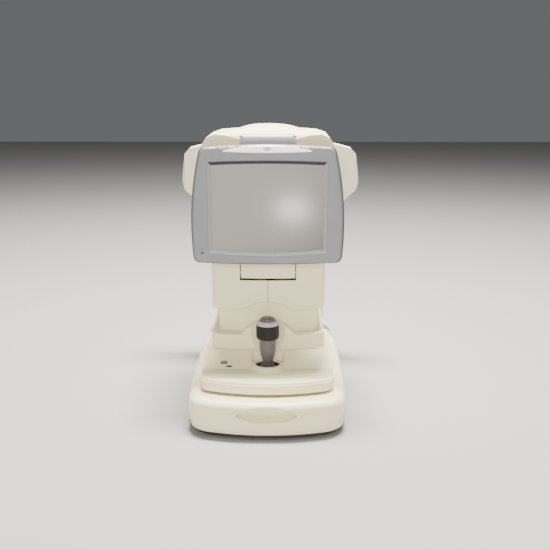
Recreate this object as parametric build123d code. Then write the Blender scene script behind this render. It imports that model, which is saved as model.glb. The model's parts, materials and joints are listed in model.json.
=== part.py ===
from build123d import *
import os

# Autorefractor. Millimetres, +Z up, origin under the middle of the object on the table.
# The operator sits on the -Y side, the patient on the +Y side, and +X is the operator's right.
# Depths are given as a distance behind the front edge of the base, turned into Y by at().

# ---- driving dimensions ----
base_depth = 480.0
base_half_width = 123.5
base_front_half = 118.0
base_back_half = 110.0
foot_height = 4.0
plate_thickness = 3.0
base_bottom = 8.0
base_waist = 30.0
base_top = 56.0
plateau_top = 59.0
wall = 3.0
running = 0.05
seam = 0.3

switch_x = 114.5
switch_depth = 95.0

deck_bottom = 60.0
palm_top = 73.0
crest_top = 77.0
step_top = 95.0
ridge_top = 119.0
arch_top = 140.0
turret_top = 185.0
deck_front = 33.0
deck_back = 338.0
slope_foot = 113.0
wall_front = 150.0
turret_front = 167.0
turret_back = 300.0
turret_half = 81.0
turret_bow = 9.0
ridge_half = 91.0
deck_half = 105.0
arch_half_chord = 45.6

stick_depth = 120.0
stick_pivot_z = 66.0
boss_top = 80.0
boss_rim = 24.5
boss_bore = 19.2
stem_radius = 3.6
ring_bottom = 121.0
cap_bottom = 143.9
well_radius = 12.6
button_stem_radius = 1.5
knurl_count = 36
knurl_radius = 0.55
ring_radius = 18.0
collar_radius = 17.2
trunnion_radius = 2.0

head_front = 159.0
head_bow = 12.0
skirt_back = 316.0
head_back = 345.0
skirt_bottom = 157.0
skirt_half = 91.0
shoulder_half = 105.0
hood_bottom = 392.0
hood_peak = 448.0
optical_axis_z = 325.0
chassis_bottom = 203.0

door_bottom = 208.6
door_top = 233.0
door_half = 44.0
door_thickness = 3.0
door_pin_radius = 1.0
door_axis_depth = 167.0
door_axis_z = 216.6
roll_depth = 202.5
roll_z = 232.0
roll_radius = 17.0
core_radius = 3.0
platen_radius = 5.0
journal_radius = 2.0
platen_depth = 176.0
platen_z = 226.0

monitor_front = 128.0
bezel_back = 140.0
monitor_back = 155.0
monitor_bottom = 236.0
monitor_half = 112.0
monitor_top_half = 101.0
monitor_top_side = 417.0
monitor_top = 422.0
opening_half = 91.5
opening_bottom_side = 255.6
opening_bottom = 251.0
opening_top_side = 396.3
opening_top = 398.6
hinge_depth = 151.5
hinge_z = 428.5
barrel_radius = 7.3
barrel_half = 38.5
hinge_pin_radius = 3.0

rail_radius = 6.0
rail_x = 80.0
rail_z = 24.0
shaft_radius = 5.0
shaft_z = 36.0
shaft_depths = (190.0, 230.0)

lift_depth = 235.0
lift_x = 45.0
ram_radius = 8.0
lift_screw_radius = 5.0

headrest_front = 388.0
headrest_back = 432.0
headrest_split = 412.0
band_centre = 533.0
band_inner_radius = 96.0
band_outer_radius = 100.0
pad_inner_radius = 90.0
chin_depth = 428.0
chin_post_radius = 11.0
chin_screw_radius = 4.0
chin_cup_z = 212.0
headrest_post_x = 91.0
headrest_post_radius = 4.5
screw_radius = 1.7
base_screw_places = ((-92, 70), (92, 70), (-86, 452), (86, 452))


def at(depth):
    """Y of a place that lies depth behind the front edge of the base."""
    return depth - base_depth / 2


def block(x0, x1, d0, d1, z0, z1):
    """Box between two X, two depths and two heights."""
    centre = Pos((x0 + x1) / 2, at((d0 + d1) / 2), (z0 + z1) / 2)
    return centre * Box(abs(x1 - x0), d1 - d0, z1 - z0)


def rod_x(x0, x1, depth, z, radius):
    return Pos((x0 + x1) / 2, at(depth), z) * Rot(0, 90, 0) * Cylinder(radius, abs(x1 - x0))


def rod_y(x, d0, d1, z, radius):
    return Pos(x, at((d0 + d1) / 2), z) * Rot(90, 0, 0) * Cylinder(radius, d1 - d0)


def rod_z(x, depth, z0, z1, radius):
    return Pos(x, at(depth), (z0 + z1) / 2) * Cylinder(radius, z1 - z0)


def lathe(profile, x=0.0, depth=0.0):
    """Solid turned about a vertical axis from (radius, z) points."""
    face = make_face(Polyline(*[(r, 0, z) for r, z in profile], close=True))
    return Pos(x, at(depth), 0) * revolve(face, Axis.Z)


def front_prism(edges, d0, d1):
    """Solid whose outline is drawn in X and Z and which runs from depth d0 to depth d1."""
    return Pos(0, at(d0), 0) * extrude(make_face(edges), d1 - d0, dir=(0, 1, 0))


def side_prism(points, x0, x1):
    """Solid whose outline is drawn in depth and Z and which runs from x0 to x1."""
    face = make_face(Polyline(*[(x0, at(d), z) for d, z in points], close=True))
    return extrude(face, x1 - x0, dir=(1, 0, 0))


def upright_edges(shape):
    return shape.edges().filter_by(Axis.Z)


def rounded_block(x_half, d0, d1, z0, z1, corner, top_edge=0.0):
    """Box centred on X = 0 with rounded upright corners and, if asked, a rounded top rim."""
    solid = block(-x_half, x_half, d0, d1, z0, z1)
    solid = fillet(upright_edges(solid), corner)
    if top_edge:
        solid = fillet(solid.edges().group_by(Axis.Z)[-1], top_edge)
    return solid


def bowed_block(half, d0, d1, z0, z1, bow, front_corner, back_corner):
    """Upright block centred on X = 0 whose front face bows towards the operator."""
    front = ThreePointArc((-half, at(d0 + bow)), (0, at(d0)), (half, at(d0 + bow)))
    rest = Polyline((half, at(d0 + bow)), (half, at(d1)), (-half, at(d1)), (-half, at(d0 + bow)))
    face = make_face([front, rest])
    face = fillet(face.vertices().sort_by(Axis.Y)[:2], front_corner)
    face = fillet([v for v in face.vertices() if v.Y > at(d1) - 0.01], back_corner)
    return extrude(Pos(0, 0, z0) * face, z1 - z0)


def rounded_flap(half, d0, d1, z0, z1, corner):
    """Box centred on X = 0 whose edges along the depth are rounded."""
    return fillet(block(-half, half, d0, d1, z0, z1).edges().filter_by(Axis.Y), corner)


def save(name, *shapes):
    solids = [s for shape in shapes for s in shape.solids()]
    node = solids[0] if len(solids) == 1 else Compound(solids)
    node.label = name
    export_step(node, f"parts/{name}.step")


def bowed_plan(front_half, mid_half, back_half, d0, d1, bow, front_corner, back_corner, z):
    """Plan outline with a bowed front edge and slightly barrelled sides."""
    mid = (d0 + d1) * 0.45
    front = ThreePointArc((-front_half, at(d0 + bow)), (0, at(d0)), (front_half, at(d0 + bow)))
    right = ThreePointArc((front_half, at(d0 + bow)), (mid_half, at(mid)), (back_half, at(d1)))
    back = Line((back_half, at(d1)), (-back_half, at(d1)))
    left = ThreePointArc((-back_half, at(d1)), (-mid_half, at(mid)), (-front_half, at(d0 + bow)))
    face = make_face([front, right, back, left])
    corners = face.vertices().sort_by(Axis.Y)
    face = fillet(corners[:2], front_corner)
    corners = [v for v in face.vertices() if v.Y > at(d1) - 0.01]
    face = fillet(corners, back_corner)
    return Pos(0, 0, z) * face


# ---- fixed base ----
def base_section(inset, z):
    return bowed_plan(base_front_half - inset, base_half_width - inset, base_back_half - inset, inset,
                      base_depth - inset, 24, 46 - inset, 40 - inset, z)


def base_form(inset):
    """Outer form of the base shell, moved inwards by inset, widest at its waist."""
    top = base_top - inset
    lower = loft([base_section(inset + 4, base_bottom), base_section(inset, base_waist)], ruled=True)
    upper = loft([base_section(inset, base_waist), base_section(inset + 2, top)], ruled=True)
    return lower + upper


def base_shell():
    outer = base_form(0)
    rim = outer.edges().group_by(Axis.Z)[-1]
    outer = fillet(rim, 11)
    plateau = rounded_block(104, 352, 474, base_top - 6, plateau_top, 20, 2.5)
    recess_edges = [ThreePointArc((-46, 0, 38), (0, 0, 53), (46, 0, 38)),
                    ThreePointArc((46, 0, 38), (0, 0, 27), (-46, 0, 38))]
    recess = front_prism(recess_edges, -5, 20)
    recess &= side_prism([(-6, 54), (3, 54), (12, 36), (2, 29), (-6, 28)], -50, 50)
    outer = outer + plateau - recess
    inner = base_form(wall) + rounded_block(99, 357, 469, 20, plateau_top - wall, 16)
    inner -= block(-54, 54, 0, 17, 0, base_top)
    shell = outer - inner
    shell -= block(-60, 60, 150, 270, 40, 80)
    shell -= rod_z(0, chin_depth, 40, 80, 16)
    shell -= block(-30, 30, 470, 490, 20, 44)
    shell -= block(100, 130, switch_depth - 21, switch_depth + 21, 20, 42)
    for x in (-headrest_post_x, headrest_post_x):
        shell -= rod_z(x, headrest_split, 40, 80, headrest_post_radius)
    for x, depth in base_screw_places:
        roof = base_top if depth < 300 else plateau_top
        boss = rod_z(x, depth, base_bottom, roof - 1.5, 5)
        shell += boss - rod_z(x, depth, 0, 30, screw_radius)
    return shell


def base_plate():
    plan = bowed_plan(base_front_half - 8, base_half_width - 8, base_back_half - 8, 5, base_depth - 5,
                      22, 40, 34, foot_height)
    plate = extrude(plan, plate_thickness)
    for x, depth in base_screw_places:
        plate -= rod_z(x, depth, 0, 20, screw_radius)
    return plate


def base_feet():
    return [rod_z(x, depth, 0, foot_height, 11) for x in (-80, 80) for depth in (60, 425)]


def base_screws():
    screws = []
    for x, depth in base_screw_places:
        head = rod_z(x, depth, foot_height - 2, foot_height, 3.2)
        screws.append(head + rod_z(x, depth, foot_height, 28, screw_radius))
    return screws


def rail_blocks():
    blocks = []
    for x in (-rail_x, rail_x):
        for d0 in (110, 298):
            body = block(x - 11, x + 11, d0, d0 + 12, foot_height + plate_thickness, 38)
            blocks.append(body - rod_y(x, d0 - 5, d0 + 17, rail_z, rail_radius))
    return blocks


def depth_rails():
    return [rod_y(x, 110, 310, rail_z, rail_radius) for x in (-rail_x, rail_x)]


def power_supply():
    tray = block(-98, -24, 330, 400, 7, 9)
    can = block(-94, -28, 334, 396, 9, 42)
    return can + tray


def main_board():
    board = block(24, 100, 322, 400, 14, 15.6)
    for x in (34, 62, 86):
        board += block(x - 6, x + 6, 340, 356, 15.6, 19)
    for x in (29, 95):
        for depth in (327, 395):
            board += rod_z(x, depth, 7, 14, 3)
    return board


def power_inlet():
    body = block(-26, 8, 462, 479, 22, 42)
    body += block(-29.8, 12, 479, 480, 20.5, 43.5)
    body -= block(-21, 3, 466, 490, 26, 38)
    for x in (-14, -9, -4):
        body += block(x - 1, x + 1, 464, 472, 29, 35)
    return body


def side_panel():
    """Recessed panel on the operator's right that frames the power switch."""
    panel = block(switch_x - 0.5, switch_x + 3.9, switch_depth - 20.6, switch_depth + 20.6, 20.4, 41.6)
    return panel - block(100, 130, switch_depth - 13, switch_depth + 13, 25, 38)


def power_rocker():
    """Rocker of the power switch, dished on its outer face, with a pivot pin at top and bottom."""
    rocker = block(switch_x - 2, switch_x + 4, switch_depth - 10.4, switch_depth + 10.4, 27, 36)
    rocker -= rod_z(switch_x + 7, switch_depth, 20, 50, 4.6)
    return rocker + rod_z(switch_x, switch_depth, 25.4, 37.6, 1)


# ---- patient side ----
def mirrored_outline(half, peak_z):
    """Closed outline in X and Z from its right half and the height where it crosses the middle."""
    points = half + [(0, peak_z)] + [(-x, z) for x, z in reversed(half)]
    return make_face(Polyline(*[(x, 0, z) for x, z in points], close=True))


def headrest_form(inset):
    """Headrest frame: narrow legs that open into a wide arch with ears."""
    outer = [(98, plateau_top), (103, 180), (110, 240), (137, 303), (158, 321), (162.5, 334),
             (161, 352), (156, 386), (147, 396), (124, 402), (70, 413)]
    opening = [(82, plateau_top - 1), (84, 180), (90, 246), (112, 300), (117, 330), (110, 362),
               (80, 382)]
    ring = mirrored_outline(outer, 418) - mirrored_outline(opening, 388)
    plan = make_face(Polyline((-163, at(413)), (-156, at(398)), (-137, at(390)), (0, at(headrest_front)),
                              (137, at(390)), (156, at(398)), (163, at(413)), (163, at(424)),
                              (152, at(headrest_back)), (-152, at(headrest_back)), (-163, at(424)),
                              close=True))
    if inset:
        ring = offset(ring, -inset)
        plan = offset(plan, -inset)
    tall = extrude(Pos(0, 0, 0) * plan, 450)
    deep = Pos(0, at(headrest_front - 5), 0) * extrude(ring, 60, dir=(0, 1, 0))
    return deep & tall


def headrest_covers():
    skin = headrest_form(0) - headrest_form(wall)
    for x in (-headrest_post_x, headrest_post_x):
        skin -= rod_z(x, headrest_split, plateau_top - 2, 192, headrest_post_radius)
    front = skin & block(-200, 200, 380, headrest_split - seam / 2, plateau_top, 450)
    rear = skin & block(-200, 200, headrest_split + seam / 2, 440, plateau_top, 450)
    return front, rear


def headrest_posts():
    """Steel uprights that carry the headrest covers, standing on the base plate."""
    posts = []
    for x in (-headrest_post_x, headrest_post_x):
        posts.append(rod_z(x, headrest_split, foot_height + plate_thickness, 190, headrest_post_radius))
    return posts


def forehead_band():
    """Curved carrier that holds the forehead pad under the top of the arch."""
    band = rod_z(0, band_centre, 372, 392, band_outer_radius)
    band -= rod_z(0, band_centre, 370, 394, band_inner_radius)
    band &= block(-60, 60, 416, 470, 370, 394)
    for side in (-1, 1):
        band += block(side * 52, side * 60, headrest_back, band_centre - 80, 378, 398)
    return band


def forehead_pad():
    """Soft curved pad on the patient's side of the band."""
    pad = rod_z(0, band_centre, 373, 391, band_inner_radius)
    pad -= rod_z(0, band_centre, 370, 394, pad_inner_radius)
    pad = pad & block(-48, 48, 416, 470, 370, 394)
    return fillet(pad.edges().filter_by(Axis.Z), 2)


def tower_cover():
    """Housing between the headrest legs that hides the chinrest lift."""
    cover = rounded_block(78, 392, 462, plateau_top, 150, 18, 8)
    inner = rounded_block(78 - wall, 392 + wall, 462 - wall, plateau_top - 1, 150 - wall, 15)
    return cover - inner - rod_z(0, chin_depth, 140, 160, chin_post_radius + 5)


def chin_guide():
    """Fixed sleeve in which the chinrest post slides."""
    sleeve = rod_z(0, chin_depth, 48, 152, chin_post_radius + 4)
    sleeve += rod_z(0, chin_depth, 48, 54, chin_post_radius + 9)
    sleeve -= rod_z(0, chin_depth, 40, 160, chin_post_radius + running)
    return sleeve


def chin_motor():
    motor = rounded_block(17, chin_depth - 17, chin_depth + 17, 7, 26, 3)
    return motor - rod_z(0, chin_depth, 20, 40, chin_screw_radius + running)


def chin_screw():
    """Lead screw that lifts the chinrest post."""
    return rod_z(0, chin_depth, 21, 150, chin_screw_radius)


def chin_post():
    """Sliding post with the lead screw's thread in its lower end and a clear bore above."""
    post = rod_z(0, chin_depth, 62, chin_cup_z - 6, chin_post_radius)
    post -= rod_z(0, chin_depth, 60, 74, chin_screw_radius + running)
    return post - rod_z(0, chin_depth, 74, chin_cup_z - 14, chin_screw_radius + 1.5)


def chin_cup():
    """Shallow cup for the chin, with a round hollow that is open towards the patient."""
    cup = rounded_block(44, 404, 462, chin_cup_z - 6, chin_cup_z + 16, 16)
    hollow = rod_y(0, 416, 480, chin_cup_z + 44, 40)
    cup -= hollow
    cup -= block(-60, 60, 452, 480, chin_cup_z + 6, chin_cup_z + 30)
    cup = cup - rod_z(-38, 411, chin_cup_z, chin_cup_z + 20, 1.5)
    return cup - rod_z(38, 411, chin_cup_z, chin_cup_z + 20, 1.5)


def paper_pins():
    """Two pins that hold the stack of chinrest papers."""
    return [rod_z(x, 411, chin_cup_z, chin_cup_z + 24, 1.5) for x in (-38, 38)]


# ---- depth carriage, on the rails in the base ----
def carriage_frame():
    frame = None
    for side in (-1, 1):
        x0, x1 = side * 62, side * 94
        end = block(x0, x1, 180, 240, 11, 46)
        end -= rod_y(side * rail_x, 170, 250, rail_z, rail_radius + 4)
        for depth in shaft_depths:
            end -= rod_x(side * 60, side * 69, depth, shaft_z, shaft_radius)
        frame = end if frame is None else frame + end
    return frame + block(-62, 62, 180, 240, 11, 15)


def rail_bushings():
    bushes = []
    for x in (-rail_x, rail_x):
        for d0 in (181, 219):
            bush = rod_y(x, d0, d0 + 20, rail_z, rail_radius + 4)
            bushes.append(bush - rod_y(x, d0 - 5, d0 + 25, rail_z, rail_radius + running))
    return bushes


def cross_shafts():
    return [rod_x(-69, 69, depth, shaft_z, shaft_radius) for depth in shaft_depths]


# ---- stage ----
def stage_chassis():
    """Plate under the deck with a central pillar that rides on the cross shafts."""
    chassis = block(-76, 76, 176, 322, 62, 66)
    chassis += block(-14, 14, 178, 242, 26, 62)
    chassis += block(-21, 21, stick_depth - 22, 178, 62, 64)
    for depth in shaft_depths:
        chassis -= rod_x(-20, 20, depth, shaft_z, shaft_radius + 3)
    return chassis - rod_z(0, stick_depth, 50, 70, 15)


def cross_bushings():
    bushes = []
    for depth in shaft_depths:
        for side in (-1, 1):
            x0, x1 = side * 1, side * 14
            bush = rod_x(x0, x1, depth, shaft_z, shaft_radius + 3)
            bushes.append(bush - rod_x(-20, 20, depth, shaft_z, shaft_radius + running))
    return bushes


def deck_plan(inset):
    return bowed_plan(100 - inset, deck_half - inset, 104 - inset, deck_front + inset, deck_back - inset,
                      22, 22 - inset, 16 - inset, deck_bottom)


def deck_form(inset):
    """Outer form of the moving deck and its tiers, moved inwards by inset."""
    floor = palm_top - inset
    form = extrude(deck_plan(inset), floor - deck_bottom, taper=3)
    crest = extrude(deck_plan(inset), crest_top - inset - deck_bottom, taper=14)
    if inset == 0:
        crest = fillet(crest.edges().group_by(Axis.Z)[-1], 3.5)
    dish = side_prism([(50 + inset, crest_top + 1 - inset), (72 + inset, floor), (430, floor), (430, 180),
                       (50 + inset, 180)], -130, 130)
    form += crest - dish
    slope = side_prism([(slope_foot + inset, floor - 6), (slope_foot + inset, floor),
                        (142 + inset * 0.5, step_top - inset), (wall_front + 6, step_top - inset),
                        (wall_front + 6, floor - 6)], -(97 - inset), 97 - inset)
    form += slope
    form += bowed_block(ridge_half - inset, wall_front - 4 + inset, deck_back - inset, palm_top - 8,
                        ridge_top - inset, 6, 18 - inset, 18 - inset)
    half_chord = arch_half_chord - inset
    arch_foot = ridge_top - 4
    arch = [ThreePointArc((-half_chord, 0, arch_foot), (0, 0, arch_top - inset), (half_chord, 0, arch_foot)),
            Line((half_chord, 0, arch_foot), (-half_chord, 0, arch_foot))]
    form += front_prism(arch, wall_front - 2 + inset, turret_front + 12)
    return form + bowed_block(turret_half - inset, turret_front + inset, turret_back - inset, ridge_top - 8,
                              turret_top - inset, turret_bow, 13 - inset, 13 - inset)


def niche_form(grow):
    """Turned form of the bowl behind the joystick, grown outwards by grow."""
    low, high = boss_top - grow, arch_top + 60
    bowl = ThreePointArc((boss_rim + grow, 0, low), (34.5 + grow, 0, 101), (39 + grow, 0, 132))
    rest = Polyline((39 + grow, 0, 132), (39 + grow, 0, high), (0, 0, high), (0, 0, low),
                    (boss_rim + grow, 0, low))
    return Pos(0, at(stick_depth), 0) * revolve(make_face([bowl, rest]), Axis.Z)


def deck_cover():
    outer = deck_form(0)
    outer += lathe([(0, palm_top - 2), (33, palm_top - 2), (27, palm_top + 4), (boss_rim, boss_top),
                    (0, boss_top)], 0, stick_depth)
    cavity = deck_form(wall) - niche_form(wall)
    cover = outer - niche_form(0) - cavity
    cover -= lathe([(0, 40), (26, 40), (26, palm_top - 3), (boss_bore, boss_top - 3),
                    (boss_bore, boss_top + 5), (0, boss_top + 5)], 0, stick_depth)
    return cover - block(-62, 62, 205, 265, turret_top - 10, turret_top + 10)


def lift_column():
    """Two guide tubes that stand on the stage plate and steady the head."""
    tubes = []
    for x in (-lift_x, lift_x):
        tube = rod_z(x, lift_depth, 66, 178, ram_radius + 4) + rod_z(x, lift_depth, 66, 72, ram_radius + 9)
        tubes.append(tube - rod_z(x, lift_depth, 66, 190, ram_radius + running))
    return tubes


def lift_motor():
    motor = block(-21, 21, lift_depth - 21, lift_depth + 21, 66, 108)
    return motor - rod_z(0, lift_depth, 96, 120, lift_screw_radius + running)


def lift_screw():
    return rod_z(0, lift_depth, 97, 236, lift_screw_radius)


# ---- joystick ----
def gimbal_ring():
    """Ring that lets the joystick lean sideways as well as fore and aft."""
    ring = rod_z(0, stick_depth, stick_pivot_z - 3, stick_pivot_z + 3, 12.5)
    ring -= rod_z(0, stick_depth, stick_pivot_z - 5, stick_pivot_z + 5, 9)
    for side in (-1, 1):
        ring += rod_x(side * 12, side * 17.4, stick_depth, stick_pivot_z, trunnion_radius)
    ring -= rod_y(0, stick_depth - 20, stick_depth + 20, stick_pivot_z, trunnion_radius + running)
    return ring


def gimbal_bearings():
    """Blocks on the stage plate that carry the gimbal ring's two trunnions."""
    blocks = []
    for side in (-1, 1):
        x0, x1 = side * 13.2, side * 19
        body = block(x0, x1, stick_depth - 5, stick_depth + 5, 64, 71)
        bore = rod_x(side * 10, side * 24, stick_depth, stick_pivot_z, trunnion_radius + running)
        blocks.append(body - bore)
    return blocks


def joystick_shaft():
    """Steel stem with its ball, its trunnions in the gimbal ring and a bore for the button."""
    shaft = rod_z(0, stick_depth, stick_pivot_z - 6, cap_bottom + 2.1, stem_radius)
    shaft += Pos(0, at(stick_depth), stick_pivot_z) * Sphere(6.5)
    shaft += rod_y(0, stick_depth - 12, stick_depth + 12, stick_pivot_z, trunnion_radius)
    return shaft - rod_z(0, stick_depth, ring_bottom + 14, cap_bottom + 5, button_stem_radius + running)


def joystick_grip():
    """Moulded grip that tapers in a soft curve towards the deck."""
    top = ring_bottom - 0.5
    side = Spline((5.6, 0, 79), (9.6, 0, 90), (12.4, 0, 104), (12.9, 0, top))
    lines = [Line((stem_radius, 0, 79), (5.6, 0, 79)), side, Line((12.9, 0, top), (stem_radius, 0, top)),
             Line((stem_radius, 0, top), (stem_radius, 0, 79))]
    return Pos(0, at(stick_depth), 0) * revolve(make_face(lines), Axis.Z)


def joystick_collar():
    """Light collar above the turning ring, with a round well for the button."""
    z = cap_bottom
    return lathe([(stem_radius, z), (collar_radius, z), (collar_radius, z + 1.6), (15.6, z + 5.3),
                  (well_radius, z + 7.3), (well_radius, z + 2.1), (stem_radius, z + 2.1)], 0, stick_depth)


def lift_ring():
    """Knurled ring that is turned to raise or lower the head."""
    bore = stem_radius + running
    top = cap_bottom - 0.3
    ring = lathe([(bore, ring_bottom), (14, ring_bottom), (17, ring_bottom + 1.4),
                  (ring_radius, ring_bottom + 4), (ring_radius, top - 1), (17.4, top), (bore, top)],
                 0, stick_depth)
    for k in range(knurl_count):
        turn = Pos(0, at(stick_depth), 0) * Rot(0, 0, k * 360 / knurl_count)
        groove = Pos(ring_radius + 0.2, 0, (ring_bottom + 4 + top) / 2) * Cylinder(knurl_radius, 15)
        ring -= turn * groove
    return ring


def measure_button():
    """Domed button with a stem that slides in the bore of the joystick's shaft."""
    z = cap_bottom + 4.5
    r = button_stem_radius
    return lathe([(0, z - 7), (r, z - 7), (r, z), (12.3, z), (12.3, z + 3), (11, z + 5.6), (8, z + 7.4),
                  (4, z + 8.4), (0, z + 8.6)], 0, stick_depth)


# ---- head ----
def head_chassis():
    chassis = block(-80, 80, 182, 306, chassis_bottom, chassis_bottom + 4)
    for side in (-1, 1):
        x0, x1 = side * 60, side * 63
        chassis += block(x0, x1, 236, 306, chassis_bottom + 4, 270)
    chassis += rod_z(0, lift_depth, chassis_bottom + 4, chassis_bottom + 14, 11)
    chassis -= rod_z(0, lift_depth, 180, 230, lift_screw_radius + running)
    for x in (-lift_x, lift_x):
        chassis -= rod_z(x, lift_depth, 180, 230, ram_radius)
    return chassis


def lift_rams():
    return [rod_z(x, lift_depth, 92, chassis_bottom + 10, ram_radius) for x in (-lift_x, lift_x)]


def head_form(inset):
    """Outer form of the head below the hood: a skirt and a wider measuring part above it."""
    half = skirt_half - inset
    skirt = bowed_block(half, head_front + inset, skirt_back - inset, skirt_bottom, 262 - inset,
                        head_bow, 14 - inset, 14 - inset)
    body = bowed_block(half, head_front + inset, head_back - inset, 250 + inset, hood_bottom,
                       head_bow, 14 - inset, 18 - inset)
    cheeks = [(0, 300 + inset), (skirt_half - 4, 300 + inset), (shoulder_half - inset, 346 + inset),
              (shoulder_half - inset, hood_bottom)]
    outline = cheeks[1:] + [(-x, z) for x, z in reversed(cheeks[1:])]
    wide = front_prism(Polyline(*[(x, 0, z) for x, z in outline], close=True), head_front + 4 + inset,
                       head_back - 6 - inset)
    wide &= bowed_block(shoulder_half - inset, head_front + 4 + inset, head_back - 6 - inset, 290,
                        hood_bottom, head_bow + 3, 14 - inset, 14 - inset)
    return skirt + body + wide


def head_shells():
    shell = head_form(0) - (head_form(wall) + block(-75, 75, 200, 300, skirt_bottom - 5, skirt_bottom + 5))
    arch = [ThreePointArc((-45, 0, skirt_bottom - 2), (0, 0, skirt_bottom + 13), (45, 0, skirt_bottom - 2)),
            Line((45, 0, skirt_bottom - 2), (-45, 0, skirt_bottom - 2))]
    shell -= front_prism(arch, head_front - 5, head_front + 10)
    shell -= block(-60, 60, head_front + 10, skirt_back - 10, skirt_bottom - 5, 185)
    shell -= block(-(door_half + 1), door_half + 1, head_front - 5, head_front + 12, door_bottom - 3.6,
                   door_top + 1)
    shell -= block(-92, 92, head_back - 8, head_back + 5, 262, 384)
    left = shell & block(-200, -seam / 2, 100, 400, 100, 500)
    right = shell & block(seam / 2, 200, 100, 400, 100, 500)
    return left, right


def hood_form(inset):
    shoulder = [(shoulder_half - inset, hood_bottom), (shoulder_half - inset, 410),
                (103 - inset, 420 - inset), (96 - inset, 430 - inset), (80 - inset, 436 - inset),
                (50 - inset, 438.5 - inset)]
    lines = [Polyline(*[(x, 0, z) for x, z in shoulder]),
             ThreePointArc((50 - inset, 0, 438.5 - inset), (0, 0, hood_peak - inset),
                           (-(50 - inset), 0, 438.5 - inset)),
             Polyline(*[(-x, 0, z) for x, z in reversed(shoulder)]),
             Line((-(shoulder_half - inset), 0, hood_bottom), (shoulder_half - inset, 0, hood_bottom))]
    long = front_prism(lines, head_front - 2, head_back)
    side = side_prism([(head_front + inset, hood_bottom - 1), (head_front + inset, 424),
                       (head_front + 6 + inset, 434 - inset), (205, 444 - inset),
                       (245, hood_peak - inset + 1), (285, 444 - inset), (330 - inset, 428 - inset),
                       (head_back - 6 - inset, 410), (head_back - 6 - inset, hood_bottom - 1)],
                      -130, 130)
    plan = bowed_block(shoulder_half - inset, head_front + inset, head_back - 6 - inset, hood_bottom - 1,
                       hood_peak + 5, head_bow + 3, 14 - inset, 14 - inset)
    return long & side & plan


def hood():
    cover = hood_form(0) - hood_form(wall)
    notch = block(-43.5, 43.5, head_front - 10, hinge_depth + barrel_radius + 6, 418, 460)
    back = block(-46.5, 46.5, hinge_depth + barrel_radius + 6, hinge_depth + barrel_radius + 9, 412, 443)
    floor = block(-46.5, 46.5, head_front + 0.2, hinge_depth + barrel_radius + 9, 412, 418)
    return cover - notch + (back & hood_form(1)) + (floor & hood_form(0.2))


def hinge_bracket():
    """Steel bracket in the hood's notch with an ear at each end of the monitor barrel."""
    d_back = hinge_depth + barrel_radius + 1
    bracket = block(-42, 42, d_back, d_back + 3, hinge_z - 9, hinge_z + 7)
    for side in (-1, 1):
        x0, x1 = side * 39, side * 42
        bracket += block(x0, x1, hinge_depth - 5, d_back + 1, hinge_z - 6, hinge_z + 6)
    return bracket - rod_x(-50, 50, hinge_depth, hinge_z, hinge_pin_radius)


def hinge_pin():
    return rod_x(-42, 42, hinge_depth, hinge_z, hinge_pin_radius)


def patient_panel():
    """Panel on the patient's side of the head, with a round seat for the window ring."""
    panel = block(-91.6, 91.6, head_back - 7.7, head_back - 1, 262.4, 383.6)
    panel = fillet(panel.edges().filter_by(Axis.Y), 9)
    return panel - rod_y(0, head_back - 20, head_back + 5, optical_axis_z, 44)


def window_ring():
    """Stepped ring around the measuring window."""
    ring = rod_y(0, head_back - 9, head_back, optical_axis_z, 43.8)
    ring -= rod_y(0, head_back - 12, head_back + 5, optical_axis_z, 24)
    step = rod_y(0, head_back - 3, head_back + 5, optical_axis_z, 36)
    return ring - step


def optical_bench():
    bench = block(-70, 70, 240, 334, 270, 274)
    for d0 in (246, 306):
        saddle = block(-26, 26, d0, d0 + 12, 274, optical_axis_z)
        bench += saddle - rod_y(0, d0 - 2, d0 + 14, optical_axis_z, 30)
    return bench


def measuring_barrel():
    barrel = rod_y(0, 238, 334, optical_axis_z, 30) - rod_y(0, 244, 340, optical_axis_z, 26)
    return barrel - rod_y(0, 230, 250, optical_axis_z, 12)


def objective_lens():
    """Round lens whose front face bulges towards the patient."""
    lens = rod_y(0, 322, 333, optical_axis_z, 26)
    dome = Pos(0, at(333 - 60), optical_axis_z) * Sphere(60)
    return lens & dome


def camera_module():
    camera = block(-19, 19, 212, 237.8, optical_axis_z - 19, optical_axis_z + 19)
    return camera + rod_y(0, 237, 252, optical_axis_z, 11.8)


def printer_body():
    """Cradle of the small receipt printer, with cheeks for the platen and lugs for the door."""
    z0 = chassis_bottom + 4
    body = block(-40, 40, 181.5, 223.5, z0, 252)
    well = roll_radius + 2
    body -= rod_x(-33, 33, roll_depth, roll_z, well)
    body -= block(-33, 33, roll_depth - well, roll_depth + well, roll_z, 260)
    slot = core_radius + running
    body -= rod_x(-38, 38, roll_depth, roll_z, slot)
    body -= block(-38, 38, roll_depth - slot, roll_depth + slot, roll_z, 260)
    for side in (-1, 1):
        x0, x1 = side * 33, side * 40
        cheek = block(x0, x1, 171.5, 182, 216, 238)
        body += cheek - rod_x(side * 30, side * 42, platen_depth, platen_z, journal_radius + running)
        x0, x1 = side * 45, side * 48.5
        lug = block(x0, x1, 165.5, 190, z0, 219.5)
        lug += block(side * 38, x1, 184, 190, z0, 219.5)
        lug -= rod_x(side * 44, side * 50, door_axis_depth, door_axis_z, door_pin_radius + running)
        body += lug
    return body


def platen_roller():
    roller = rod_x(-30, 30, platen_depth, platen_z, platen_radius)
    return roller + rod_x(-38, 38, platen_depth, platen_z, journal_radius)


def paper_roll():
    roll = rod_x(-29, 29, roll_depth, roll_z, roll_radius)
    return roll + rod_x(-37, 37, roll_depth, roll_z, core_radius)


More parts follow.
